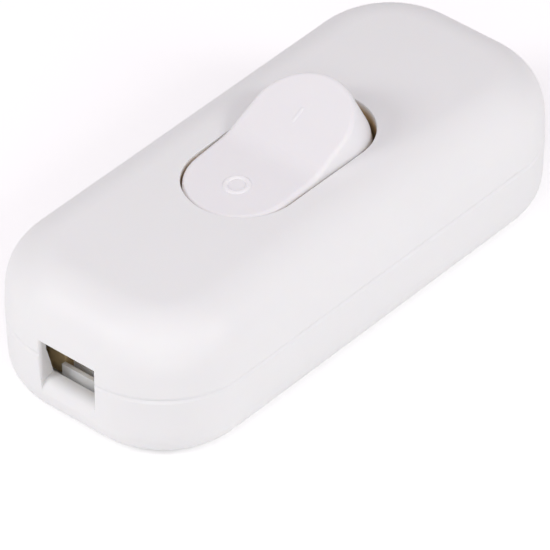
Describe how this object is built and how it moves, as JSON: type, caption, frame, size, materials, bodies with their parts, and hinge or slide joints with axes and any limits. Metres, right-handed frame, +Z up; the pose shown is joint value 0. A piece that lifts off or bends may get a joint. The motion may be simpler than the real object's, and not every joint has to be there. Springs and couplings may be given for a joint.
{
  "type": "in-line rocker switch",
  "caption": "White in-line rocker switch for a lamp cord: a rounded two-part housing with a see-saw rocker on top and a cord entry in each end.",
  "frame": {"origin": "middle of the flat underside", "axes": "+X along the switch towards its raised I end, +Y across it, +Z up out of the rocker"},
  "size_m": [0.062, 0.027, 0.0205],
  "materials": {
    "white_plastic": "satin moulded",
    "clamp_plastic": "ochre moulded",
    "nylon": "natural moulded",
    "spring_steel": "drawn wire",
    "brass": "stamped sheet",
    "silver_contact": "silver alloy",
    "plated_steel": "zinc plated"
  },
  "bodies": {
    "housing": {"top_cover": "white_plastic", "base_shell": "white_plastic", "fixed_contact": "silver_contact", "common_terminal": "brass", "switched_terminal": "brass", "neutral_link": "brass", "wire_plate_1": "plated_steel", "wire_plate_2": "plated_steel", "wire_plate_3": "plated_steel", "wire_plate_4": "plated_steel", "cord_clamp_near": "clamp_plastic", "cord_clamp_far": "clamp_plastic", "cord_saddle_near": "clamp_plastic", "cord_saddle_far": "clamp_plastic", "terminal_screws": "plated_steel", "cord_clamp_screws": "plated_steel", "housing_screws": "plated_steel"},
    "rocker": {"rocker_button": "white_plastic", "plunger_spring": "spring_steel"},
    "plunger": {"spring_plunger": "nylon"},
    "contact_bar": {"contact_bar": "brass", "moving_contact": "silver_contact"}
  },
  "joints": [
    {"name": "rocker_tilt", "type": "hinge", "parent": "housing", "child": "rocker", "pos_m": [0, 0, 0.012], "axis": [0, 1, 0], "range_deg": [0, 29]},
    {"name": "bar_tilt", "type": "hinge", "parent": "housing", "child": "contact_bar", "pos_m": [0, -0.0024, 0.0044], "axis": [0, 1, 0], "range_deg": [-10, 0]},
    {"name": "plunger_slide", "type": "slide", "parent": "rocker", "child": "plunger", "axis": [-0.2504, 0, 0.9681], "range_m": [0, 0.0005], "stiffness_N_per_m": 400, "deforming": ["plunger_spring"]}
  ],
  "couplings": [
    {"joint": "bar_tilt", "follows": "rocker_tilt", "ratio": -0.345}
  ]
}
